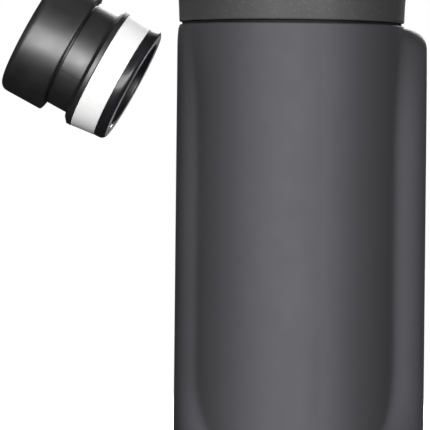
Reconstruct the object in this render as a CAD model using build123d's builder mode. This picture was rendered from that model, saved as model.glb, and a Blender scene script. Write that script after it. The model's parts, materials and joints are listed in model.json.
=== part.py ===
from build123d import *

import os
from math import cos, hypot, pi, radians, sin, sqrt

# Vacuum flask with a screw-on cup and a loose push-button stopper beside its neck.
# Millimetres, +Z up. The origin is the centre of the face that the flask stands on,
# +Z is the flask's axis and -Y is its front.

# ---------------------------------------------------------------- driving dimensions
CASING_BOTTOM_Z = 0.8
CASING_TOP_Z = 193.3
CUP_RIM_Z = 194.3
CUP_TOP_Z = 257.0
LIP_Z = 211.5               # underside of the vessel's rolled lip

PANEL_R = 40.0              # casing on its front panel and at its top edge
PANEL_MIDDLE_DEG = 5.0      # the panel's middle, from -Y towards +X
PANEL_HALF_WIDTH = 41.0     # measured round the casing
PANEL_ROUND_Z = 73.0        # centre of the panel's round lower end
PANEL_FLARE = 7.5           # extra half width at the top
PANEL_FLARE_Z = 120.0       # where the panel starts to widen
GRIP_SLOPE = 12.0           # width of the slope from the panel up to the grip
GRIP_LEFT = 40.6            # reach of the grip to each side of the axis
GRIP_RIGHT = 48.1
GRIP_DEPTH = 42.0           # reach to the front and the back
GRIP_POWER = 3.0            # squareness of the grip's section
GRIP_TOP_Z = 192.6          # the grip's shoulder ends here
GRIP_SHOULDER = 7.2         # height of that shoulder
BASE_EDGE = 4.5             # rounding of the casing's bottom edge
RIM_R = PANEL_R - 0.05      # the casing's rim, a hair inside the grip's top
RIM_EDGE = 0.4              # bevel where the casing and the cup face each other
CASING_WALL = 2.2
CASING_LIP_R = 34.0         # hole in the casing's top
CASING_FLOOR_R = 35.9       # hole in the casing's floor

VESSEL_R = 36.4             # steel vessel, outer wall
VESSEL_WALL = 0.6
LINER_R = 33.8              # steel vessel, inner wall, outside
LINER_WALL = 0.5
NECK_OUTER_R = 25.3
SHOULDER_Z = 170.0          # where the vessel starts to narrow
THREAD_PITCH = 4.0
THREAD_HEIGHT = 8.0

CUP_WALL = 2.2
CUP_R = 43.6

# The stopper's axis runs from its seal end to its knob. S is the distance along it.
STOPPER_END = Vector(-56.0, -2.0, 171.1)
STOPPER_AXIS = Vector(-0.8785, 0.056, 0.4745).normalized()
SEAL_TOP_S = 4.0
BAND_TOP_S = 12.9
FLANGE_TOP_S = 16.0
KNOB_BOTTOM_S = 25.2
KNOB_TOP_S = 41.9
KNOB_R = 23.1
STEM_NECK_R = 20.0
FLANGE_R = 22.95
BAND_TOP_R = 22.8
BAND_BOTTOM_R = 21.8
BUTTON_R = 9.0
STEM_R = 2.0
FIT = 0.05                  # radial clearance of the sliding stem
WINDOW_EDGE_DEG = -20.0     # the pour recess starts here, round from the front
WINDOW_ARC_DEG = 140.0

# ---------------------------------------------------------------- planes and axes
SECTION = Plane.XZ
STOPPER_FRONT = (Vector(0, -1, 0) - STOPPER_AXIS * -STOPPER_AXIS.Y).normalized()
STOPPER_FRAME = Plane(origin=STOPPER_END, x_dir=STOPPER_FRONT, z_dir=STOPPER_AXIS)
STOPPER_SECTION = Plane(
    origin=STOPPER_END, x_dir=STOPPER_FRONT, z_dir=STOPPER_FRONT.cross(STOPPER_AXIS)
)
STOPPER_LINE = Axis(STOPPER_END, STOPPER_AXIS)

os.makedirs("parts", exist_ok=True)


def outline(*points, plane=SECTION):
    """A closed face through (radius, height) points, for turning about the axis."""
    with BuildSketch(plane, mode=Mode.PRIVATE) as face:
        with BuildLine():
            Polyline(*points, close=True)
        make_face()
    return face.sketch


def sheet_outline(points, radii, wall, plane=SECTION):
    """The section of a pressed sheet: an outer line with rounded corners, and its wall."""
    with BuildSketch(plane, mode=Mode.PRIVATE) as face:
        with BuildLine():
            FilletPolyline(*points, radius=radii)
            offset(amount=wall, side=Side.LEFT)
        make_face()
    return face.sketch


def coil(plane, pitch, height, radius):
    """A helix that stands on a plane."""
    return plane * Helix(pitch=pitch, height=height, radius=radius)


def finish(piece, label):
    """Names a finished piece and writes it."""
    piece.part.label = label
    export_step(piece.part, f"parts/{label}.step")


# ---------------------------------------------------------------- casing shape
def grip_radius(azimuth):
    """Radius of the grip's squarish section, azimuth from -Y towards +X."""
    side = GRIP_RIGHT if sin(azimuth) > 0 else GRIP_LEFT
    across = abs(sin(azimuth) / side) ** GRIP_POWER
    along = abs(cos(azimuth) / GRIP_DEPTH) ** GRIP_POWER
    return (across + along) ** (-1 / GRIP_POWER)


def casing_radius(azimuth, z):
    """Outer radius of the casing: a round front panel sunk into a squarish grip."""
    turn = (azimuth - radians(PANEL_MIDDLE_DEG) + pi) % (2 * pi) - pi
    flare = max(0.0, (z - PANEL_FLARE_Z) / (GRIP_TOP_Z - PANEL_FLARE_Z))
    half_width = PANEL_HALF_WIDTH + PANEL_FLARE * flare**4
    beyond = hypot(turn * PANEL_R, min(0.0, z - PANEL_ROUND_Z)) - half_width
    slope = min(1.0, max(0.0, beyond / GRIP_SLOPE))
    rise = slope * slope * (3 - 2 * slope)
    above = min(1.0, max(0.0, (z - GRIP_TOP_Z + GRIP_SHOULDER) / GRIP_SHOULDER))
    shoulder = sqrt(1 - above * above)
    below = max(0.0, CASING_BOTTOM_Z + BASE_EDGE - z)
    edge = BASE_EDGE - sqrt(BASE_EDGE**2 - below**2)
    return PANEL_R + (grip_radius(azimuth) - PANEL_R) * rise * shoulder - edge


SECTION_POINTS = 48


def casing_solid(heights, inset=0.0):
    """A solid through the casing's sections at some heights, inset by a wall."""
    with BuildPart(mode=Mode.PRIVATE) as solid:
        for z in heights:
            ring = []
            for step in range(SECTION_POINTS):
                azimuth = 2 * pi * step / SECTION_POINTS
                radius = casing_radius(azimuth, z + inset) - inset
                ring.append((radius * sin(azimuth), -radius * cos(azimuth)))
            with BuildSketch(Plane.XY.offset(z)):
                with BuildLine():
                    Spline(*ring, periodic=True)
                make_face()
        loft()
    return solid.part


def casing_heights(bottom, top, inset=0.0):
    """Section heights, close together where the outline turns quickly."""
    shoulder_start = GRIP_TOP_Z - GRIP_SHOULDER - inset
    base = [CASING_BOTTOM_Z + BASE_EDGE * (1 - cos(radians(a))) for a in (25, 50, 75)]
    sides = [8, 20, 32, 38, 44, 50, 57, 65, 73, 85, 120, 140, 155, 167, 177]
    shoulder = [shoulder_start + GRIP_SHOULDER * sin(radians(a)) for a in (0, 20, 40, 58, 74)]
    between = [z for z in (*base, *sides, *shoulder) if bottom + 0.3 < z < top - 0.05]
    return [bottom, *sorted(between), top]


# ---------------------------------------------------------------- flask body
with BuildPart() as outer_shell:
    add(casing_solid(casing_heights(CASING_BOTTOM_Z, GRIP_TOP_Z)))
    revolve(
        outline(
            (0, GRIP_TOP_Z),
            (RIM_R, GRIP_TOP_Z),
            (RIM_R, CASING_TOP_Z - RIM_EDGE),
            (PANEL_R - RIM_EDGE, CASING_TOP_Z),
            (0, CASING_TOP_Z),
        ),
        axis=Axis.Z,
    )
    cavity_bottom = CASING_BOTTOM_Z + CASING_WALL
    cavity_top = GRIP_TOP_Z - CASING_WALL
    add(
        casing_solid(casing_heights(cavity_bottom, cavity_top, CASING_WALL), CASING_WALL),
        mode=Mode.SUBTRACT,
    )
    with BuildSketch(Plane.XY.offset(cavity_top - 1)):
        Circle(CASING_LIP_R)
    extrude(amount=CASING_TOP_Z, mode=Mode.SUBTRACT)
    with BuildSketch(Plane.XY):
        Circle(CASING_FLOOR_R)
    extrude(amount=cavity_bottom + 1, mode=Mode.SUBTRACT)
finish(outer_shell, "outer_shell")

with BuildPart() as vessel_outer_wall:
    revolve(
        sheet_outline(
            [(VESSEL_R, 8.6), (VESSEL_R, SHOULDER_Z), (NECK_OUTER_R, 187), (NECK_OUTER_R, LIP_Z)],
            [12, 8],
            VESSEL_WALL,
        ),
        axis=Axis.Z,
    )
finish(vessel_outer_wall, "vessel_outer_wall")

BORE_R = 23.2               # neck bore at the mouth
SEAT_R = 21.95              # neck bore where the seal sits
with BuildPart() as vessel_inner_wall:
    revolve(
        sheet_outline(
            [
                (0, 13.6),
                (LINER_R, 13.6),
                (LINER_R, SHOULDER_Z - 3),
                (SEAT_R + LINER_WALL, 185),
                (SEAT_R + LINER_WALL, 190.5),
                (BORE_R + LINER_WALL, 202.5),
                (BORE_R + LINER_WALL, LIP_Z),
                (NECK_OUTER_R, LIP_Z),
            ],
            [9, 12, 5, 4, 4, 0.55],
            LINER_WALL,
        ),
        axis=Axis.Z,
    )
finish(vessel_inner_wall, "vessel_inner_wall")

HOLE_R = 1.0                # evacuation hole
with BuildPart() as vessel_bottom:
    revolve(
        sheet_outline(
            [(HOLE_R, 10.8), (7, 10.8), (9.4, 8.6), (VESSEL_R - VESSEL_WALL - 0.05, 8.6)],
            [1.2, 1.2],
            VESSEL_WALL,
        ),
        axis=Axis.Z,
    )
finish(vessel_bottom, "vessel_bottom")

with BuildPart() as vacuum_seal_cap:
    with BuildSketch(Plane.XY.offset(9.6)):
        Circle(3.6)
    extrude(amount=1.2)
    with BuildSketch(Plane.XY.offset(10.8)):
        Circle(HOLE_R - FIT)
    extrude(amount=0.5)
    fillet(vacuum_seal_cap.edges().group_by(Axis.Z)[0], 0.5)
finish(vacuum_seal_cap, "vacuum_seal_cap")

with BuildPart() as reflective_foil:
    with BuildSketch(Plane.XY.offset(24)):
        Circle(LINER_R + 0.45)
        Circle(LINER_R + 0.2, mode=Mode.SUBTRACT)
    extrude(amount=136)
finish(reflective_foil, "reflective_foil")

with BuildPart() as getter:
    with BuildSketch(Plane.XY.offset(11.6)):
        with Locations((14, 0)):
            Circle(4.5)
    extrude(amount=2.0)
    chamfer(getter.edges().group_by(Axis.Z)[0], 0.4)
finish(getter, "getter")

COLLAR_R = 31.5
SKIRT_R = 33.6
FLANGE_EDGE_R = 39.0        # the flange that shows between the casing and the cup
GASKET_Z = 204.0
GASKET_HEIGHT = 2.4
GASKET_R = 27.4
collar_helix = coil(Plane.XY.offset(198.5), THREAD_PITCH, THREAD_HEIGHT, COLLAR_R - 0.2)
with BuildPart() as neck_collar:
    revolve(
        outline(
            (27.5, 186),
            (SKIRT_R, 186),
            (SKIRT_R, CASING_TOP_Z),
            (FLANGE_EDGE_R, CASING_TOP_Z),
            (FLANGE_EDGE_R, CUP_RIM_Z - 0.3),
            (COLLAR_R, CUP_RIM_Z - 0.3),
            (COLLAR_R, 212.4),
            (25.5, 212.4),
            (25.5, GASKET_Z + GASKET_HEIGHT),
            (GASKET_R, GASKET_Z + GASKET_HEIGHT),
            (GASKET_R, GASKET_Z),
            (25.5, GASKET_Z),
            (25.5, 190.5),
            (27.5, 189),
        ),
        axis=Axis.Z,
    )
    fillet(neck_collar.edges().group_by(Axis.Z)[-1], 1.2)
    with BuildSketch(Plane(origin=collar_helix @ 0, z_dir=collar_helix % 0, x_dir=(1, 0, 0))):
        Trapezoid(2.4, 2.2, 62, rotation=-90, align=(Align.CENTER, Align.MIN))
    sweep(path=collar_helix, is_frenet=True)
finish(neck_collar, "neck_collar")

with BuildPart() as collar_gasket:
    revolve(
        outline(
            (25.4, GASKET_Z),
            (GASKET_R, GASKET_Z),
            (GASKET_R, GASKET_Z + GASKET_HEIGHT),
            (25.4, GASKET_Z + GASKET_HEIGHT),
        ),
        axis=Axis.Z,
    )
finish(collar_gasket, "collar_gasket")

with BuildPart() as shoulder_cushion:
    revolve(
        outline((27.8, 185.9), (33.4, 185.9), (33.4, 175.1), (27.8, 183.7)),
        axis=Axis.Z,
    )
finish(shoulder_cushion, "shoulder_cushion")

with BuildPart() as bottom_cushion:
    with BuildSketch(Plane.XY.offset(4.0)):
        Circle(30)
        Circle(11, mode=Mode.SUBTRACT)
    extrude(amount=4.5)
finish(bottom_cushion, "bottom_cushion")

FOOT_R = 33.6
FOOT_HEIGHT = 2.2
with BuildPart() as base_cap:
    revolve(
        outline(
            (0, FOOT_HEIGHT),
            (FOOT_R + 0.2, FOOT_HEIGHT),
            (FOOT_R + 0.2, CASING_BOTTOM_Z),
            (35.6, CASING_BOTTOM_Z),
            (35.6, 8),
            (33.6, 8),
            (33.6, 4.0),
            (0, 4.0),
        ),
        axis=Axis.Z,
    )
finish(base_cap, "base_cap")

with BuildPart() as foot_pad:
    with BuildSketch(Plane.XY):
        Circle(FOOT_R)
    extrude(amount=FOOT_HEIGHT)
    chamfer(foot_pad.edges().group_by(Axis.Z)[0], 0.4)
finish(foot_pad, "foot_pad")

# ---------------------------------------------------------------- cup
with BuildPart() as cup_shell:
    with BuildSketch(SECTION):
        with BuildLine():
            rim = Line((38.2, CUP_RIM_Z), (PANEL_R - RIM_EDGE, CUP_RIM_Z))
            edge = Line(rim @ 1, (PANEL_R, CUP_RIM_Z + RIM_EDGE))
            flare = Spline(
                edge @ 1,
                (40.4, 202.8),
                (41.6, 210),
                (43.0, 219),
                (CUP_R, 229),
                tangents=((0, 1), (0, 1)),
            )
            side = Line(flare @ 1, (CUP_R, CUP_TOP_Z - 8))
            corner = RadiusArc(side @ 1, (CUP_R - 8, CUP_TOP_Z), -8)
            top = Line(corner @ 1, (0, CUP_TOP_Z))
            middle = Line(top @ 1, (0, CUP_TOP_Z - CUP_WALL))
            inner_top = Line(middle @ 1, (CUP_R - 8, CUP_TOP_Z - CUP_WALL))
            inner_corner = RadiusArc(
                inner_top @ 1, (CUP_R - CUP_WALL, CUP_TOP_Z - 8), 8 - CUP_WALL
            )
            inner_side = Line(inner_corner @ 1, (CUP_R - CUP_WALL, 229))
            inner_flare = Spline(
                inner_side @ 1,
                (CUP_R - CUP_WALL - 0.65, 219),
                (39.4, 210),
                (38.3, 203),
                (38.2, CUP_RIM_Z + 3),
                tangents=((0, -1), (0, -1)),
            )
            Line(inner_flare @ 1, rim @ 0)
        make_face()
    revolve(axis=Axis.Z)
finish(cup_shell, "cup_shell")

CUP_LINER_R = 37.4
CUP_LINER_WALL = 1.3
LINER_BORE_R = CUP_LINER_R - CUP_LINER_WALL
liner_helix = coil(Plane.XY.offset(198.2), THREAD_PITCH, THREAD_HEIGHT, LINER_BORE_R + 0.2)
with BuildPart() as cup_liner:
    revolve(
        sheet_outline(
            [(CUP_LINER_R, CUP_RIM_Z + 0.5), (CUP_LINER_R, 240), (CUP_LINER_R - 1.5, 253.4), (0, 253.4)],
            [20, 7],
            CUP_LINER_WALL,
        ),
        axis=Axis.Z,
    )
    with BuildSketch(Plane(origin=liner_helix @ 0, z_dir=liner_helix % 0, x_dir=(1, 0, 0))):
        Trapezoid(2.2, 2.0, 62, rotation=90, align=(Align.CENTER, Align.MIN))
    sweep(path=liner_helix, is_frenet=True)
finish(cup_liner, "cup_liner")

# ---------------------------------------------------------------- stopper
with BuildPart() as stopper_seal:
    revolve(
        outline(
            (16.6, 0.6),
            (17.2, 0.0),
            (21.3, 0.0),
            (BAND_BOTTOM_R, 1.5),
            (BAND_BOTTOM_R, SEAL_TOP_S),
            (19.3, SEAL_TOP_S),
            (19.3, 2.4),
            (16.6, 2.4),
            plane=STOPPER_SECTION,
        ),
        axis=STOPPER_LINE,
    )
finish(stopper_seal, "stopper_seal")

with BuildPart() as stopper_band:
    revolve(
        outline(
            (19.5, SEAL_TOP_S),
            (BAND_BOTTOM_R, SEAL_TOP_S),
            (BAND_TOP_R, BAND_TOP_S),
            (19.5, BAND_TOP_S),
            plane=STOPPER_SECTION,
        ),
        axis=STOPPER_LINE,
    )
finish(stopper_band, "stopper_band")

VALVE_HOLE_R = 6.5
with BuildPart() as stopper_core:
    revolve(
        outline(
            (VALVE_HOLE_R, 4.6),
            (15.4, 4.6),
            (15.4, 2.5),
            (19.2, 2.5),
            (19.2, 4.1),
            (19.4, 4.1),
            (19.4, BAND_TOP_S),
            (17.6, BAND_TOP_S),
            (17.6, 6.6),
            (VALVE_HOLE_R, 6.6),
            plane=STOPPER_SECTION,
        ),
        axis=STOPPER_LINE,
    )
finish(stopper_core, "stopper_core")

with BuildPart() as core_gasket:
    revolve(
        outline(
            (15.4, 11.0),
            (17.5, 11.0),
            (17.5, 12.8),
            (15.4, 12.8),
            plane=STOPPER_SECTION,
        ),
        axis=STOPPER_LINE,
    )
finish(core_gasket, "core_gasket")

RELIEF_R = 18.8             # undercut round the neck's top, below the knob
RECESS_DEPTH = 0.3
GROOVE_WIDTH = 1.1
GROOVE_DEPTH = 0.8
WINDOW_HALF_DEG = 20.0
with BuildPart() as stopper_neck:
    revolve(
        outline(
            (15.4, BAND_TOP_S),
            (FLANGE_R - 0.2, BAND_TOP_S),
            (FLANGE_R, BAND_TOP_S + 0.3),
            (FLANGE_R, FLANGE_TOP_S - 1.4),
            (FLANGE_R - 1.6, FLANGE_TOP_S),
            (STEM_NECK_R, FLANGE_TOP_S),
            (STEM_NECK_R, KNOB_BOTTOM_S - 0.9),
            (RELIEF_R, KNOB_BOTTOM_S - 0.5),
            (RELIEF_R, KNOB_BOTTOM_S),
            (STEM_R + FIT, KNOB_BOTTOM_S),
            (STEM_R + FIT, KNOB_BOTTOM_S - 2.0),
            (17.6, KNOB_BOTTOM_S - 2.0),
            (17.6, FLANGE_TOP_S - 1.0),
            (15.4, FLANGE_TOP_S - 1.0),
            plane=STOPPER_SECTION,
        ),
        axis=STOPPER_LINE,
    )
    # The pour recess: a shallow step round one side of the neck.
    recess_height = KNOB_BOTTOM_S - FLANGE_TOP_S
    recess_start = WINDOW_EDGE_DEG - WINDOW_ARC_DEG
    with BuildSketch(STOPPER_FRAME.offset(FLANGE_TOP_S)):
        with BuildLine():
            recess_inner = CenterArc(
                (0, 0), STEM_NECK_R - RECESS_DEPTH, recess_start, WINDOW_ARC_DEG
            )
            recess_outer = CenterArc((0, 0), STEM_NECK_R + 1, recess_start, WINDOW_ARC_DEG)
            Line(recess_inner @ 0, recess_outer @ 0)
            Line(recess_inner @ 1, recess_outer @ 1)
        make_face()
    extrude(amount=recess_height, mode=Mode.SUBTRACT)
    # The narrow groove along the recess's front edge.
    with BuildSketch(STOPPER_FRAME.offset(FLANGE_TOP_S)):
        with PolarLocations(STEM_NECK_R, 1, start_angle=WINDOW_EDGE_DEG):
            Rectangle(2 * GROOVE_DEPTH, GROOVE_WIDTH)
    extrude(amount=recess_height, mode=Mode.SUBTRACT)
    # The pour window, through the neck's wall behind the recess.
    with BuildSketch(STOPPER_FRAME.offset(FLANGE_TOP_S + 1.6)):
        with PolarLocations(STEM_NECK_R - 1, 1, start_angle=WINDOW_EDGE_DEG - 110):
            Rectangle(8, 2 * STEM_NECK_R * sin(radians(WINDOW_HALF_DEG)))
    extrude(amount=4.4, mode=Mode.SUBTRACT)
finish(stopper_neck, "stopper_neck")

GUIDE_R = 11.0
KNOB_LIP_R = 18.0           # the knob's lower lip rests on the neck
with BuildPart() as stopper_knob:
    revolve(
        outline(
            (KNOB_LIP_R, KNOB_BOTTOM_S),
            (KNOB_R, KNOB_BOTTOM_S),
            (KNOB_R, KNOB_TOP_S),
            (BUTTON_R + 0.3, KNOB_TOP_S),
            (BUTTON_R + 0.3, 30.0),
            (GUIDE_R, 30.0),
            (GUIDE_R, KNOB_TOP_S - 2.4),
            (21.0, KNOB_TOP_S - 2.4),
            (21.0, KNOB_BOTTOM_S + 1.2),
            (KNOB_LIP_R, KNOB_BOTTOM_S + 1.2),
            plane=STOPPER_SECTION,
        ),
        axis=STOPPER_LINE,
    )
    rounds = stopper_knob.edges().filter_by(GeomType.CIRCLE).sort_by(SortBy.RADIUS)[-2:]
    lower_round, upper_round = rounds.sort_by(STOPPER_LINE)
    fillet(upper_round, 3.0)
    fillet(lower_round, 0.6)
finish(stopper_knob, "stopper_knob")

with BuildPart() as insulation_foam:
    revolve(
        outline(
            (GUIDE_R + 0.3, KNOB_BOTTOM_S + 1.3),
            (20.8, KNOB_BOTTOM_S + 1.3),
            (20.8, KNOB_TOP_S - 2.6),
            (GUIDE_R + 0.3, KNOB_TOP_S - 2.6),
            plane=STOPPER_SECTION,
        ),
        axis=STOPPER_LINE,
    )
finish(insulation_foam, "insulation_foam")

# ---------------------------------------------------------------- button and valve
BUTTON_TOP_S = KNOB_TOP_S - 0.5
with BuildPart() as push_button:
    revolve(
        outline(
            (0, BUTTON_TOP_S - 1.0),
            (4.0, BUTTON_TOP_S - 0.8),
            (BUTTON_R - 0.8, BUTTON_TOP_S),
            (BUTTON_R, BUTTON_TOP_S - 0.6),
            (BUTTON_R, BUTTON_TOP_S - 8.0),
            (BUTTON_R - 1.4, BUTTON_TOP_S - 8.0),
            (BUTTON_R - 1.4, BUTTON_TOP_S - 3.0),
            (3.6, BUTTON_TOP_S - 3.0),
            (3.6, BUTTON_TOP_S - 6.0),
            (STEM_R, BUTTON_TOP_S - 6.0),
            (STEM_R, BUTTON_TOP_S - 3.0),
            (0, BUTTON_TOP_S - 3.0),
            plane=STOPPER_SECTION,
        ),
        axis=STOPPER_LINE,
    )
finish(push_button, "push_button")

VALVE_R = 9.6
with BuildPart() as valve_stem:
    with BuildSketch(STOPPER_FRAME.offset(2.0)):
        Circle(STEM_R)
    extrude(amount=BUTTON_TOP_S - 3.0 - 2.0)
finish(valve_stem, "valve_stem")

with BuildPart() as valve_plate:
    with BuildSketch(STOPPER_FRAME.offset(2.0)):
        Circle(VALVE_R)
        Circle(STEM_R, mode=Mode.SUBTRACT)
    extrude(amount=1.4)
finish(valve_plate, "valve_plate")

with BuildPart() as valve_gasket:
    with BuildSketch(STOPPER_FRAME.offset(3.4)):
        Circle(VALVE_R - 0.4)
        Circle(STEM_R + 0.1, mode=Mode.SUBTRACT)
    extrude(amount=1.15)
finish(valve_gasket, "valve_gasket")

SPRING_R = 5.0
SPRING_WIRE_R = 0.45
SPRING_BOTTOM_S = KNOB_BOTTOM_S + SPRING_WIRE_R + 0.02
SPRING_TOP_S = BUTTON_TOP_S - 3.0 - SPRING_WIRE_R - 0.02
SPRING_PITCH = 2.4
spring_helix = coil(
    STOPPER_FRAME.offset(SPRING_BOTTOM_S), SPRING_PITCH, SPRING_TOP_S - SPRING_BOTTOM_S, SPRING_R
)
with BuildPart() as button_spring:
    with BuildSketch(Plane(origin=spring_helix @ 0, z_dir=spring_helix % 0)):
        Circle(SPRING_WIRE_R)
    sweep(path=spring_helix, is_frenet=True)
finish(button_spring, "button_spring")
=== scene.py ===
import json
import math

import bmesh
import bpy
from mathutils import Matrix, Vector


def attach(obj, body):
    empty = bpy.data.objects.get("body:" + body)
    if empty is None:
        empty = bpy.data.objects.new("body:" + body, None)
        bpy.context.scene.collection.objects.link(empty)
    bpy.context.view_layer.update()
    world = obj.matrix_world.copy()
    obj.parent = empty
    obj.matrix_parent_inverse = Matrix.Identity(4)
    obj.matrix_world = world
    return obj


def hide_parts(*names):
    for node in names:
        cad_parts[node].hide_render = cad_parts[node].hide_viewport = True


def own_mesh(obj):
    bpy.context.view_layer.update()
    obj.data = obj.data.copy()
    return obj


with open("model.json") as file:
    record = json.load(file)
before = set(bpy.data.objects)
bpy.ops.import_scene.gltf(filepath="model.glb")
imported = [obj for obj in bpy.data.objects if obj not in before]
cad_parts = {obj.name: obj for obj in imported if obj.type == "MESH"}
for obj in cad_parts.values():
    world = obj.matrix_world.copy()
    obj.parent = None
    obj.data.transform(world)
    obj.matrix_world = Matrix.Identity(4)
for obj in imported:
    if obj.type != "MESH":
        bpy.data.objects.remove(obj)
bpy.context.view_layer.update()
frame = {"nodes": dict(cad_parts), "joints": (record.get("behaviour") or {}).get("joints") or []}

# Vacuum flask with a screw-on cup and a loose push-button stopper beside its neck.
# Outlines are written in millimetres, as the design is, and built in metres.
MM = 0.001


def joint(name):
    return next(row for row in frame["joints"] if row["name"] == name)


# ------------------------------------------------------------------ design sizes
# The casing's values, and its formula further down, are the same as in the CAD.
CASING_BOTTOM_Z = 0.8
CASING_TOP_Z = 193.3
PANEL_R = 40.0              # casing on its front panel and at its top edge
PANEL_MIDDLE_DEG = 5.0      # the panel's middle, from -Y towards +X
PANEL_HALF_WIDTH = 41.0     # measured round the casing
PANEL_ROUND_Z = 73.0        # centre of the panel's round lower end
PANEL_FLARE = 7.5           # extra half width at the top
PANEL_FLARE_Z = 120.0       # where the panel starts to widen
GRIP_SLOPE = 12.0           # width of the slope from the panel up to the grip
GRIP_LEFT = 40.6            # reach of the grip to each side of the axis
GRIP_RIGHT = 48.1
GRIP_DEPTH = 42.0           # reach to the front and the back
GRIP_POWER = 3.0            # squareness of the grip's section
GRIP_TOP_Z = 192.6          # the grip's shoulder ends here
GRIP_SHOULDER = 7.2         # height of that shoulder
BASE_EDGE = 4.5             # rounding of the casing's bottom edge
CASING_RIM_EDGE = 0.4
CASING_WALL = 2.2
CASING_LIP_R = 34.0         # hole in the casing's top
CASING_FLOOR_R = 35.9       # hole in the casing's floor

CUP_RIM_Z = 194.3
CUP_TOP_Z = 257.0
CUP_R = 43.6
CUP_WALL = 2.2
CUP_MOUTH_R = 38.2
CUP_MOUTH_DEPTH = 3.0       # straight part of the mouth, below the inner flare
CUP_INSIDE_R = CUP_R - CUP_WALL
CUP_CORNER = 8.0            # rounding of the cup's top edge
CUP_FLARE_TOP_Z = 229.0
CUP_FLARE = ((40.4, 202.8), (41.6, 210.0), (43.0, 219.0))
CUP_INNER_FLARE = ((40.75, 219.0), (39.4, 210.0), (38.3, 203.0))
CUP_RIM_EDGE = 0.5
EDGE_CUT = 0.15             # how far a rim's rounded edge passes inside its sharp corner

# The stopper's axis runs from its seal end to its knob. S is the distance along it.
STOPPER_END = Vector((-56.0, -2.0, 171.1))
STOPPER_AXIS = Vector(joint("stopper_travel")["axis"]).normalized()

KNOB_BOTTOM_S = 25.2
KNOB_TOP_S = 41.9
KNOB_R = 23.1
KNOB_INSIDE_R = 21.0
KNOB_LIP_R = 18.0           # the knob's lower lip rests on the neck
KNOB_FLOOR = 1.2
KNOB_ROOF = 2.4
KNOB_TOP_EDGE = 3.0
KNOB_BOTTOM_EDGE = 0.6

SEAL_TOP_S = 4.0
SEAL_HOLE_R = 16.6
SEAL_REBATE_R = 19.3
SEAL_LIP = 2.4
SEAL_TAPER = 0.2            # how much narrower the seal is at its end
SEAL_END_EDGE = 2.0
SEAL_HOLE_EDGE = 0.7
SEAL_TOP_EDGE = 0.3
SEAL_RIM_DEPTH = 0.15       # the end's flat rim is painted pale down to here, a painted highlight

BAND_TOP_S = 12.9
BAND_TOP_R = 22.8
BAND_BOTTOM_R = 21.8
BAND_INSIDE_R = 19.5
BAND_EDGE = 0.25

BUTTON_R = 9.0
BUTTON_TOP_S = KNOB_TOP_S - 0.5
BUTTON_BORE_R = BUTTON_R + 0.3
BUTTON_BORE_EDGE = 0.4
BUTTON_INSIDE_R = BUTTON_R - 1.4
BUTTON_ROOF_S = BUTTON_TOP_S - 3.0
BUTTON_SKIRT_S = BUTTON_TOP_S - 8.0
BUTTON_EDGE = 0.6
BUTTON_RIM = 0.8            # flat rim round the dished top
DISH = 1.0                  # depth of the dish
DISH_FLANK = 0.8            # share of that depth reached at DISH_R
DISH_R = 4.0
DISH_ROUNDING = 6.0
GUIDE_R = 11.0              # sleeve that guides the button
GUIDE_BOTTOM_S = 30.0
BOSS_R = 3.6                # holds the stem's upper end
BOSS_BOTTOM_S = BUTTON_TOP_S - 6.0
STEM_R = 2.0

SPRING_R = 5.0              # of the coil, to the middle of its wire
SPRING_WIRE_R = 0.45
SPRING_PITCH = 2.4
SPRING_GAP = 0.02           # between the spring and what it bears on

# ------------------------------------------------------------------ frames
UPRIGHT = Matrix.Identity(4)


def stopper_frame():
    """Local axes of the stopper: x to the front, z from its seal end to its knob."""
    front = Vector((0, -1, 0))
    front = (front - STOPPER_AXIS * front.dot(STOPPER_AXIS)).normalized()
    side = STOPPER_AXIS.cross(front)
    turn = Matrix((front, side, STOPPER_AXIS)).transposed().to_4x4()
    return Matrix.Translation(STOPPER_END) @ turn


STOPPER = stopper_frame()


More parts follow.
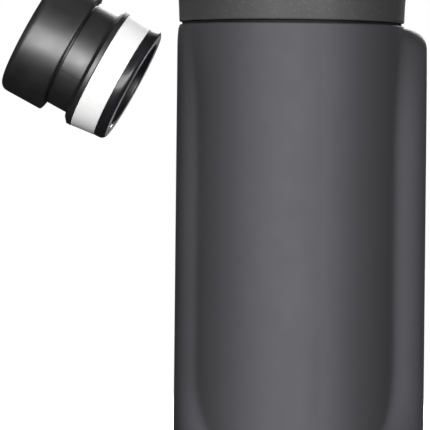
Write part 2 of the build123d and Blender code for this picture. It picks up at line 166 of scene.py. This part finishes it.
# ------------------------------------------------------------------ material nodes
class Nodes:
    """A short way to build a procedural material on one Principled shader."""

    def __init__(self, name):
        self.material = bpy.data.materials.new(name)
        self.material.use_nodes = True
        self.tree = self.material.node_tree
        self.shader = self.tree.nodes["Principled BSDF"]
        self.coordinates = self.tree.nodes.new("ShaderNodeTexCoord").outputs["Object"]

    def link(self, source, target):
        self.tree.links.new(source, target)

    def feed(self, source, socket):
        """Links a node's output to a socket of the shader."""
        self.link(source, self.shader.inputs[socket])

    def fix(self, socket, value):
        """Sets a socket of the shader to one value all over."""
        self.shader.inputs[socket].default_value = value

    def noise(self, scale, detail, stretch=(1, 1, 1)):
        mapping = self.tree.nodes.new("ShaderNodeMapping")
        mapping.inputs["Scale"].default_value = stretch
        node = self.tree.nodes.new("ShaderNodeTexNoise")
        node.inputs["Scale"].default_value = scale
        node.inputs["Detail"].default_value = detail
        self.link(self.coordinates, mapping.inputs["Vector"])
        self.link(mapping.outputs["Vector"], node.inputs["Vector"])
        return node.outputs["Fac"]

    def cells(self, scale):
        node = self.tree.nodes.new("ShaderNodeTexVoronoi")
        node.inputs["Scale"].default_value = scale
        self.link(self.coordinates, node.inputs["Vector"])
        return node.outputs["Distance"]

    def spread(self, source, low, high, low_in=0.3, high_in=0.7):
        """Stretches a range of source, by default noise's usual range, to low to high."""
        node = self.tree.nodes.new("ShaderNodeMapRange")
        node.inputs["From Min"].default_value = low_in
        node.inputs["From Max"].default_value = high_in
        node.inputs["To Min"].default_value = low
        node.inputs["To Max"].default_value = high
        self.link(source, node.inputs["Value"])
        return node.outputs["Result"]

    def product(self, first, second):
        node = self.tree.nodes.new("ShaderNodeMath")
        node.operation = "MULTIPLY"
        self.link(first, node.inputs[0])
        self.link(second, node.inputs[1])
        return node.outputs[0]

    def mix(self, factor, first, second):
        """Blends two colours, each an (r, g, b) or a node's output."""
        node = self.tree.nodes.new("ShaderNodeMix")
        node.data_type = "RGBA"
        self.link(factor, node.inputs["Factor"])
        colour_a, colour_b, colour_result = node.inputs[6], node.inputs[7], node.outputs[2]
        for value, socket in ((first, colour_a), (second, colour_b)):
            if isinstance(value, tuple):
                socket.default_value = (*value, 1.0)
            else:
                self.link(value, socket)
        return colour_result

    def bump(self, height, strength, distance, below=None):
        node = self.tree.nodes.new("ShaderNodeBump")
        node.inputs["Strength"].default_value = strength
        node.inputs["Distance"].default_value = distance
        self.link(height, node.inputs["Height"])
        if below is not None:
            self.link(below, node.inputs["Normal"])
        return node.outputs["Normal"]


def shade(colour, factor):
    return tuple(channel * factor for channel in colour)


# ------------------------------------------------------------------ kinds of material
def moulded(
    name,
    colour,
    roughness,
    grain=3600,
    grain_depth=0.00003,
    mottle=0.12,
    speck=0.0,
    specular=0.5,
    ior=1.5,
    gleam=(1, 1, 1),
    wear=0.045,
):
    """Moulded plastic: fine grain, faint clouding and wear, and optional light specks.

    grain is the grain's fineness per metre and grain_depth its relief in metres. mottle is
    the clouding's share of the colour, wear the roughness's spread, and gleam the tint of
    what the surface reflects."""
    nodes = Nodes(name)
    cloud = nodes.noise(scale=45, detail=4)
    fine = nodes.noise(grain, detail=3)
    tone = nodes.mix(
        nodes.spread(cloud, 0, 1), shade(colour, 1 - mottle), shade(colour, 1 + mottle)
    )
    tone = nodes.mix(nodes.spread(fine, 0, 0.35), tone, shade(colour, 1.35))
    if speck:
        dots = nodes.spread(nodes.cells(1100), 1, 0, low_in=0.15, high_in=0.50)
        patches = nodes.noise(scale=600, detail=1)
        rare = nodes.spread(patches, 0, speck, low_in=0.46, high_in=0.62)
        tone = nodes.mix(nodes.product(dots, rare), tone, shade(colour, 5.0))
    nodes.feed(tone, "Base Color")
    worn = nodes.noise(scale=160, detail=5)
    nodes.feed(nodes.spread(worn, roughness - wear, roughness + wear), "Roughness")
    nodes.fix("Specular IOR Level", specular)
    nodes.fix("Specular Tint", (*gleam, 1))
    nodes.fix("IOR", ior)
    waves = nodes.bump(nodes.noise(scale=70, detail=2), strength=0.05, distance=0.0001)
    nodes.feed(nodes.bump(fine, 0.5, grain_depth, below=waves), "Normal")
    return nodes.material


def brushed(name, colour, roughness=0.28, stretch=(1, 1, 0.02)):
    """Brushed metal: fine scratches drawn out along one axis."""
    nodes = Nodes(name)
    lines = nodes.noise(scale=2600, detail=3, stretch=stretch)
    cloud = nodes.noise(scale=30, detail=3)
    tone = nodes.mix(nodes.spread(lines, 0, 1), shade(colour, 0.86), shade(colour, 1.08))
    tone = nodes.mix(nodes.spread(cloud, 0, 0.3), tone, shade(colour, 0.8))
    nodes.feed(tone, "Base Color")
    nodes.feed(nodes.spread(lines, roughness - 0.07, roughness + 0.09), "Roughness")
    nodes.fix("Metallic", 1.0)
    nodes.feed(nodes.bump(lines, strength=0.35, distance=0.00002), "Normal")
    return nodes.material


def silicone(name, colour, roughness, gloss=0.0):
    """Smooth rubber with a soft skin and a faint clouding."""
    nodes = Nodes(name)
    cloud = nodes.noise(scale=120, detail=4)
    tone = nodes.mix(nodes.spread(cloud, 0, 1), shade(colour, 0.8), shade(colour, 1.25))
    nodes.feed(tone, "Base Color")
    nodes.feed(nodes.spread(cloud, roughness - 0.04, roughness + 0.06), "Roughness")
    nodes.fix("Coat Weight", gloss)
    nodes.fix("Coat Roughness", 0.18)
    skin = nodes.noise(scale=900, detail=3)
    nodes.feed(nodes.bump(skin, strength=0.3, distance=0.00003), "Normal")
    return nodes.material


def foam(name, colour):
    """Rigid foam: open cells in the colour and the surface."""
    nodes = Nodes(name)
    cells = nodes.cells(900)
    depth = nodes.spread(cells, 0, 1, low_in=0.05, high_in=0.6)
    nodes.feed(nodes.mix(depth, colour, shade(colour, 0.6)), "Base Color")
    nodes.fix("Roughness", 0.9)
    nodes.feed(nodes.bump(cells, strength=0.8, distance=0.0003), "Normal")
    return nodes.material


# ------------------------------------------------------------------ materials
grey_casing = moulded(
    "grey_casing",
    (0.012, 0.0118, 0.0135),
    roughness=0.70,
    specular=1.0,
    ior=1.65,
    gleam=(0.94, 0.92, 1.0),
    wear=0.012,
)
grey_cup = moulded(
    "grey_cup",
    (0.011, 0.011, 0.0112),
    roughness=0.70,
    grain=1500,
    grain_depth=0.00012,
    mottle=0.2,
    speck=0.8,
    specular=1.0,
    ior=1.6,
    wear=0.02,
)
stopper_black = moulded(
    "stopper_black",
    (0.006, 0.006, 0.0062),
    roughness=0.46,
    grain=3000,
    specular=1.0,
    ior=1.65,
)
black_moulding = moulded(
    "black_moulding", (0.005, 0.005, 0.0052), roughness=0.6, specular=0.2
)
black_rubber = silicone("black_rubber", (0.015, 0.015, 0.015), roughness=0.7)
seal_rubber = silicone("seal_rubber", (0.012, 0.012, 0.014), roughness=0.38, gloss=0.4)
# Painted highlight: a pale colour for the seal's flat rim, standing in for the light its edge
# catches.
seal_rim_painted_highlight = silicone("seal_rim_painted_highlight", (0.60, 0.60, 0.61), roughness=0.5)
clear_rubber = silicone("clear_rubber", (0.62, 0.62, 0.58), roughness=0.4, gloss=0.2)
white_ring = moulded(
    "white_ring", (0.93, 0.93, 0.925), roughness=0.38, grain=2500, mottle=0.01
)
vessel_steel = brushed("vessel_steel", (0.62, 0.61, 0.60))
spring_steel = brushed("spring_steel", (0.5, 0.5, 0.51), roughness=0.3, stretch=(1, 1, 1))
foil = brushed("foil", (0.86, 0.86, 0.88), roughness=0.2, stretch=(0.3, 0.3, 0.3))
getter_grey = moulded("getter_grey", (0.12, 0.115, 0.11), roughness=0.85, grain=1800)
seal_resin = moulded("seal_resin", (0.34, 0.28, 0.16), roughness=0.35)
pale_foam = foam("pale_foam", (0.75, 0.73, 0.65))


# ------------------------------------------------------------------ mesh building
SMOOTH_LIMIT = math.radians(32)
AXIS_TOLERANCE = 1e-6


def rounded(points, steps=8):
    """A closed outline. A point is (r, z), or (r, z, radius) where its corner is round."""
    result = []
    count = len(points)
    for index, point in enumerate(points):
        corner = Vector(point[:2])
        if len(point) == 2:
            result.append(tuple(corner))
            continue
        radius = point[2]
        before = (Vector(points[index - 1][:2]) - corner).normalized()
        after = (Vector(points[(index + 1) % count][:2]) - corner).normalized()
        half = before.angle(after) / 2
        reach = radius / math.tan(half)
        centre = corner + (before + after).normalized() * (radius / math.sin(half))
        start = corner + before * reach - centre
        end = corner + after * reach - centre
        turn = start.angle_signed(end)
        for step in range(steps + 1):
            angle = -turn * step / steps
            spoke = Vector(
                (
                    start.x * math.cos(angle) - start.y * math.sin(angle),
                    start.x * math.sin(angle) + start.y * math.cos(angle),
                )
            )
            result.append(tuple(centre + spoke))
    return result


def join_rings(mesh, lower, upper):
    """Faces between two rings of vertices. A ring of one vertex is a point on the axis."""
    count = max(len(lower), len(upper))
    if count == 1:
        return
    for step in range(count):
        following = (step + 1) % count
        if len(lower) == 1:
            corners = (lower[0], upper[following], upper[step])
        elif len(upper) == 1:
            corners = (lower[step], lower[following], upper[0])
        else:
            corners = (lower[step], lower[following], upper[following], upper[step])
        mesh.faces.new(corners)


def swept(name, rows, body, material, stands_for, placing=UPRIGHT, segments=192):
    """A closed ring of rows turned about the axis. A row is (radius, height), or a
    function of the azimuth that gives them. The outline runs anticlockwise in (r, z)."""
    mesh = bmesh.new()
    rings = []
    for row in rows:
        if not callable(row) and row[0] < AXIS_TOLERANCE:
            rings.append([mesh.verts.new(placing @ Vector((0, 0, row[1])) * MM)])
            continue
        ring = []
        for step in range(segments):
            azimuth = 2 * math.pi * step / segments
            radius, height = row(azimuth) if callable(row) else row
            point = Vector((radius * math.cos(azimuth), radius * math.sin(azimuth), height))
            ring.append(mesh.verts.new(placing @ point * MM))
        rings.append(ring)
    for index, lower in enumerate(rings):
        join_rings(mesh, lower, rings[(index + 1) % len(rings)])
    return finish_piece(name, mesh, body, material, stands_for)


def finish_piece(name, mesh, body, material, stands_for):
    """Turns a bmesh into a smooth piece that rides on its body and replaces a CAD node."""
    bmesh.ops.recalc_face_normals(mesh, faces=mesh.faces)
    for face in mesh.faces:
        face.smooth = True
    for edge in mesh.edges:
        if edge.calc_face_angle(0) > SMOOTH_LIMIT:
            edge.smooth = False
    data = bpy.data.meshes.new(name)
    mesh.to_mesh(data)
    mesh.free()
    piece = bpy.data.objects.new(name, data)
    bpy.context.scene.collection.objects.link(piece)
    data.materials.append(material)
    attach(piece, body)
    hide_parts(stands_for)
    return piece


# ------------------------------------------------------------------ casing
def grip_radius(azimuth):
    """Radius of the grip's squarish section, azimuth from -Y towards +X."""
    side = GRIP_RIGHT if math.sin(azimuth) > 0 else GRIP_LEFT
    across = abs(math.sin(azimuth) / side) ** GRIP_POWER
    along = abs(math.cos(azimuth) / GRIP_DEPTH) ** GRIP_POWER
    return (across + along) ** (-1 / GRIP_POWER)


def casing_radius(azimuth, z):
    """Outer radius of the casing: a round front panel sunk into a squarish grip."""
    turn = (azimuth - math.radians(PANEL_MIDDLE_DEG) + math.pi) % (2 * math.pi) - math.pi
    flare = max(0.0, (z - PANEL_FLARE_Z) / (GRIP_TOP_Z - PANEL_FLARE_Z))
    half_width = PANEL_HALF_WIDTH + PANEL_FLARE * flare**4
    beyond = math.hypot(turn * PANEL_R, min(0.0, z - PANEL_ROUND_Z)) - half_width
    slope = min(1.0, max(0.0, beyond / GRIP_SLOPE))
    rise = slope * slope * (3 - 2 * slope)
    above = min(1.0, max(0.0, (z - GRIP_TOP_Z + GRIP_SHOULDER) / GRIP_SHOULDER))
    shoulder = math.sqrt(1 - above * above)
    below = max(0.0, CASING_BOTTOM_Z + BASE_EDGE - z)
    edge = BASE_EDGE - math.sqrt(BASE_EDGE**2 - below**2)
    return PANEL_R + (grip_radius(azimuth) - PANEL_R) * rise * shoulder - edge


def casing_row(z, inset=0.0):
    """One ring of the casing's wall. The sweep's azimuth starts at +X, the casing's at -Y."""
    return lambda azimuth: (casing_radius(azimuth + math.pi / 2, z + inset) - inset, z)


def casing_heights(row_step):
    """Ring heights: evenly spaced up the side, closer over the bottom edge and shoulder."""
    side_bottom = CASING_BOTTOM_Z + BASE_EDGE
    side_top = GRIP_TOP_Z - GRIP_SHOULDER
    base = [side_bottom - BASE_EDGE * math.cos(math.radians(a)) for a in range(6, 90, 12)]
    count = round((side_top - side_bottom) / row_step)
    side = [side_bottom + (side_top - side_bottom) * i / count for i in range(count + 1)]
    shoulder = [side_top + GRIP_SHOULDER * math.sin(math.radians(a)) for a in range(6, 91, 6)]
    return [CASING_BOTTOM_Z, *base, *side, *shoulder]


def build_casing():
    outside = [casing_row(z) for z in casing_heights(row_step=1.5)]
    top_edge = [
        (PANEL_R, CASING_TOP_Z - CASING_RIM_EDGE),
        (PANEL_R - EDGE_CUT, CASING_TOP_Z - EDGE_CUT),
        (PANEL_R - CASING_RIM_EDGE, CASING_TOP_Z),
    ]
    inner_top = GRIP_TOP_Z - CASING_WALL
    inner_bottom = CASING_BOTTOM_Z + CASING_WALL
    lip = [(CASING_LIP_R, CASING_TOP_Z), (CASING_LIP_R, inner_top)]
    inner_rows = 24
    inside = [
        casing_row(inner_top - (inner_top - inner_bottom) * i / inner_rows, CASING_WALL)
        for i in range(inner_rows + 1)
    ]
    floor = [(CASING_FLOOR_R, inner_bottom), (CASING_FLOOR_R, CASING_BOTTOM_Z)]
    rows = [*outside, *top_edge, *lip, *inside, *floor]
    swept("casing", rows, "flask", grey_casing, "outer_shell", segments=288)


# ------------------------------------------------------------------ cup
def smooth_line(points, steps=8):
    """A Catmull-Rom line through the points."""
    result = []
    padded = [points[0], *points, points[-1]]
    for a, b, c, d in zip(padded, padded[1:], padded[2:], padded[3:]):
        for step in range(steps):
            t = step / steps
            result.append(
                tuple(
                    0.5
                    * (
                        2 * q
                        + (r - p) * t
                        + (2 * p - 5 * q + 4 * r - s) * t * t
                        + (3 * q - p - 3 * r + s) * t**3
                    )
                    for p, q, r, s in zip(a, b, c, d)
                )
            )
    return [*result, points[-1]]


def build_cup():
    """The flares end where the corners' outlines begin, so those give up their end points."""
    rim = [
        (CUP_MOUTH_R, CUP_RIM_Z),
        (PANEL_R - CUP_RIM_EDGE, CUP_RIM_Z),
        (PANEL_R - EDGE_CUT, CUP_RIM_Z + EDGE_CUT),
    ]
    flare = smooth_line(
        [(PANEL_R, CUP_RIM_Z + CUP_RIM_EDGE), *CUP_FLARE, (CUP_R, CUP_FLARE_TOP_Z)]
    )
    corner = rounded(
        [(CUP_R, CUP_FLARE_TOP_Z), (CUP_R, CUP_TOP_Z, CUP_CORNER), (0, CUP_TOP_Z)], steps=14
    )[1:-1]
    inner_z = CUP_TOP_Z - CUP_WALL
    inner_corner = rounded(
        [
            (0, inner_z),
            (CUP_INSIDE_R, inner_z, CUP_CORNER - CUP_WALL),
            (CUP_INSIDE_R, CUP_FLARE_TOP_Z),
        ]
    )[1:-1]
    inner_flare = smooth_line(
        [
            (CUP_INSIDE_R, CUP_FLARE_TOP_Z),
            *CUP_INNER_FLARE,
            (CUP_MOUTH_R, CUP_RIM_Z + CUP_MOUTH_DEPTH),
        ]
    )
    middle = [(0, CUP_TOP_Z), (0, inner_z)]
    rows = [*rim, *flare, *corner, *middle, *inner_corner, *inner_flare]
    swept("cup_body", rows, "cup", grey_cup, "cup_shell")


# ------------------------------------------------------------------ stopper
def build_knob():
    knob = rounded(
        [
            (KNOB_LIP_R, KNOB_BOTTOM_S),
            (KNOB_R, KNOB_BOTTOM_S, KNOB_BOTTOM_EDGE),
            (KNOB_R, KNOB_TOP_S, KNOB_TOP_EDGE),
            (BUTTON_BORE_R, KNOB_TOP_S, BUTTON_BORE_EDGE),
            (BUTTON_BORE_R, GUIDE_BOTTOM_S),
            (GUIDE_R, GUIDE_BOTTOM_S),
            (GUIDE_R, KNOB_TOP_S - KNOB_ROOF),
            (KNOB_INSIDE_R, KNOB_TOP_S - KNOB_ROOF),
            (KNOB_INSIDE_R, KNOB_BOTTOM_S + KNOB_FLOOR),
            (KNOB_LIP_R, KNOB_BOTTOM_S + KNOB_FLOOR),
        ]
    )
    swept("knob", knob, "stopper", stopper_black, "stopper_knob", STOPPER)


def build_white_band():
    band = rounded(
        [
            (BAND_INSIDE_R, SEAL_TOP_S),
            (BAND_BOTTOM_R, SEAL_TOP_S, BAND_EDGE),
            (BAND_TOP_R, BAND_TOP_S, BAND_EDGE),
            (BAND_INSIDE_R, BAND_TOP_S),
        ]
    )
    swept("white_band", band, "stopper", white_ring, "stopper_band", STOPPER)


def build_end_seal():
    """The seal's flat rim round its hollow is a duller rubber than its outside, painted pale as
    a painted highlight where its edge catches light.
    """
    seal = rounded(
        [
            (SEAL_HOLE_R, SEAL_LIP),
            (SEAL_HOLE_R, 0.0, SEAL_HOLE_EDGE),
            (BAND_BOTTOM_R - SEAL_TAPER, 0.0, SEAL_END_EDGE),
            (BAND_BOTTOM_R, SEAL_TOP_S, SEAL_TOP_EDGE),
            (SEAL_REBATE_R, SEAL_TOP_S),
            (SEAL_REBATE_R, SEAL_LIP),
        ]
    )
    end_seal = swept(
        "end_seal", seal, "stopper", seal_rubber, "stopper_seal", STOPPER
    )
    # Painted highlight: the faces of the end's flat rim take the pale colour.
    end_seal.data.materials.append(seal_rim_painted_highlight)
    for face in end_seal.data.polygons:
        height = (face.center / MM - STOPPER_END).dot(STOPPER_AXIS)
        if height < SEAL_RIM_DEPTH:
            face.material_index = 1


def build_button():
    button = rounded(
        [
            (0, BUTTON_ROOF_S),
            (STEM_R, BUTTON_ROOF_S),
            (STEM_R, BOSS_BOTTOM_S),
            (BOSS_R, BOSS_BOTTOM_S),
            (BOSS_R, BUTTON_ROOF_S),
            (BUTTON_INSIDE_R, BUTTON_ROOF_S),
            (BUTTON_INSIDE_R, BUTTON_SKIRT_S),
            (BUTTON_R, BUTTON_SKIRT_S),
            (BUTTON_R, BUTTON_TOP_S, BUTTON_EDGE),
            (BUTTON_R - BUTTON_RIM, BUTTON_TOP_S),
            (DISH_R, BUTTON_TOP_S - DISH_FLANK * DISH, DISH_ROUNDING),
            (0, BUTTON_TOP_S - DISH),
        ]
    )
    swept("button", button, "button", stopper_black, "push_button", STOPPER)


def build_spring():
    """The coil under the button."""
    bottom = KNOB_BOTTOM_S + SPRING_WIRE_R + SPRING_GAP
    height = BUTTON_ROOF_S - SPRING_WIRE_R - SPRING_GAP - bottom
    turns = height / SPRING_PITCH
    steps = round(48 * turns)
    sides = 16
    mesh = bmesh.new()
    rings = []
    for step in range(steps + 1):
        share = step / steps
        azimuth = 2 * math.pi * turns * share
        outward = Vector((math.cos(azimuth), math.sin(azimuth), 0))
        forward = Vector((-outward.y, outward.x, SPRING_PITCH / (2 * math.pi * SPRING_R)))
        upward = outward.cross(forward.normalized())
        middle = outward * SPRING_R + Vector((0, 0, bottom + height * share))
        ring = []
        for side in range(sides):
            turn = 2 * math.pi * side / sides
            spoke = outward * math.cos(turn) + upward * math.sin(turn)
            ring.append(mesh.verts.new(STOPPER @ (middle + spoke * SPRING_WIRE_R) * MM))
        rings.append(ring)
    for lower, upper in zip(rings, rings[1:]):
        join_rings(mesh, lower, upper)
    mesh.faces.new(rings[0])
    mesh.faces.new(rings[-1])
    spring = finish_piece(
        "coil_spring", mesh, "stopper", spring_steel, "button_spring"
    )
    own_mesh(spring)


# ------------------------------------------------------------------ CAD nodes that stay
NODE_MATERIALS = {
    "vessel_outer_wall": vessel_steel,
    "vessel_inner_wall": vessel_steel,
    "vessel_bottom": vessel_steel,
    "vacuum_seal_cap": seal_resin,
    "reflective_foil": foil,
    "getter": getter_grey,
    "neck_collar": black_moulding,
    "collar_gasket": clear_rubber,
    "shoulder_cushion": black_rubber,
    "bottom_cushion": black_rubber,
    "base_cap": black_moulding,
    "foot_pad": black_rubber,
    "cup_liner": black_moulding,
    "stopper_neck": stopper_black,
    "stopper_core": stopper_black,
    "core_gasket": seal_rubber,
    "insulation_foam": pale_foam,
    "valve_stem": black_moulding,
    "valve_plate": black_moulding,
    "valve_gasket": seal_rubber,
}


def paint_nodes():
    for name, material in NODE_MATERIALS.items():
        node = frame["nodes"][name]
        node.data.materials.clear()
        node.data.materials.append(material)


# ------------------------------------------------------------------ camera
CAMERA_DISTANCE = 2.1
CAMERA_SHIFT_X = -0.0266
CAMERA_HEIGHT = 0.1257
CAMERA_ROLL_DEG = 0.59
PICTURE_WIDTH = 0.1529      # what the picture spans at the flask's axis
SENSOR_MM = 36.0


def build_camera():
    """The camera looks along +Y."""
    camera = bpy.data.objects.new("camera", bpy.data.cameras.new("camera"))
    bpy.context.scene.collection.objects.link(camera)
    roll = math.radians(CAMERA_ROLL_DEG)
    right = Vector((math.cos(roll), 0, math.sin(roll)))
    up = Vector((-math.sin(roll), 0, math.cos(roll)))
    back = Vector((0, -1, 0))
    turn = Matrix((right, up, back)).transposed().to_4x4()
    place = Matrix.Translation((CAMERA_SHIFT_X, -CAMERA_DISTANCE, CAMERA_HEIGHT))
    camera.matrix_world = place @ turn
    camera.data.sensor_width = SENSOR_MM
    camera.data.lens = SENSOR_MM * CAMERA_DISTANCE / PICTURE_WIDTH
    camera.data.clip_start = 0.05
    camera.data.clip_end = 50
    bpy.context.scene.camera = camera


# ------------------------------------------------------------------ floor and lights
FLOOR_HALF = 12.0           # metres from its middle to its edges
FLOOR_WHITE = (0.93, 0.93, 0.93)
FLOOR_PALE = (0.95, 0.95, 0.95)
FLOOR_GLOW = 0.96           # lifts the floor to nearly the background's white
ROOM_LIGHT = 0.02           # the background's strength where it lights the object
LIGHT_TARGET = Vector((0, 0, 0.13))
# name, place, width and height, watts
AREA_LIGHTS = (
    ("front_box", (-0.02, -1.2, 0.12), (2.4, 0.5), 34),
    ("left_strip", (-0.87, 0.1, 0.5), (0.25, 0.3), 0.2),
    ("right_strip", (0.84, 0.3, 0.2), (0.2, 0.5), 0.3),
    ("back_box", (0.25, 1.6, 0.9), (1.2, 0.7), 45),
)
SUN_STRENGTH = 0.2
SUN_SPREAD_DEG = 70


def build_floor():
    """The floor is seen and takes shadows, but sends no light back to the object."""
    mesh = bmesh.new()
    corners = [
        mesh.verts.new((x * FLOOR_HALF, y * FLOOR_HALF, 0))
        for x, y in ((-1, -1), (1, -1), (1, 1), (-1, 1))
    ]
    mesh.faces.new(corners)
    data = bpy.data.meshes.new("floor")
    mesh.to_mesh(data)
    mesh.free()
    floor = bpy.data.objects.new("floor", data)
    bpy.context.scene.collection.objects.link(floor)
    nodes = Nodes("floor_white")
    cloud = nodes.spread(nodes.noise(scale=3, detail=3), 0, 1)
    nodes.feed(nodes.mix(cloud, FLOOR_WHITE, FLOOR_PALE), "Base Color")
    nodes.fix("Roughness", 0.9)
    nodes.fix("Specular IOR Level", 0.0)
    nodes.fix("Emission Color", (1, 1, 1, 1))
    nodes.fix("Emission Strength", FLOOR_GLOW)
    data.materials.append(nodes.material)
    floor.visible_diffuse = False
    floor.visible_glossy = False


def build_world():
    """White where the camera looks past the object, dim where it lights the object."""
    world = bpy.data.worlds.new("studio")
    bpy.context.scene.world = world
    world.use_nodes = True
    tree = world.node_tree
    tree.nodes.clear()
    backgrounds = []
    for strength in (ROOM_LIGHT, 1.0):
        background = tree.nodes.new("ShaderNodeBackground")
        background.inputs["Color"].default_value = (1, 1, 1, 1)
        background.inputs["Strength"].default_value = strength
        backgrounds.append(background)
    rays = tree.nodes.new("ShaderNodeLightPath")
    mix = tree.nodes.new("ShaderNodeMixShader")
    output = tree.nodes.new("ShaderNodeOutputWorld")
    tree.links.new(rays.outputs["Is Camera Ray"], mix.inputs[0])
    tree.links.new(backgrounds[0].outputs[0], mix.inputs[1])
    tree.links.new(backgrounds[1].outputs[0], mix.inputs[2])
    tree.links.new(mix.outputs[0], output.inputs["Surface"])


def build_area_light(name, place, size, power):
    light = bpy.data.lights.new(name, "AREA")
    light.shape = "RECTANGLE"
    light.size, light.size_y = size
    light.energy = power
    lamp = bpy.data.objects.new(name, light)
    bpy.context.scene.collection.objects.link(lamp)
    lamp.location = place
    aim = LIGHT_TARGET - Vector(place)
    lamp.rotation_euler = aim.to_track_quat("-Z", "Y").to_euler()
    lamp.visible_camera = False


def build_lights():
    for row in AREA_LIGHTS:
        build_area_light(*row)
    sun = bpy.data.lights.new("overhead", "SUN")
    sun.energy = SUN_STRENGTH
    sun.angle = math.radians(SUN_SPREAD_DEG)
    bpy.context.scene.collection.objects.link(bpy.data.objects.new("overhead", sun))


# ------------------------------------------------------------------ scene
scene = bpy.context.scene
scene.view_settings.view_transform = "Standard"
scene.view_settings.look = "None"

build_camera()
build_world()
build_lights()
build_floor()
build_casing()
build_cup()
build_knob()
build_white_band()
build_end_seal()
build_button()
build_spring()
paint_nodes()
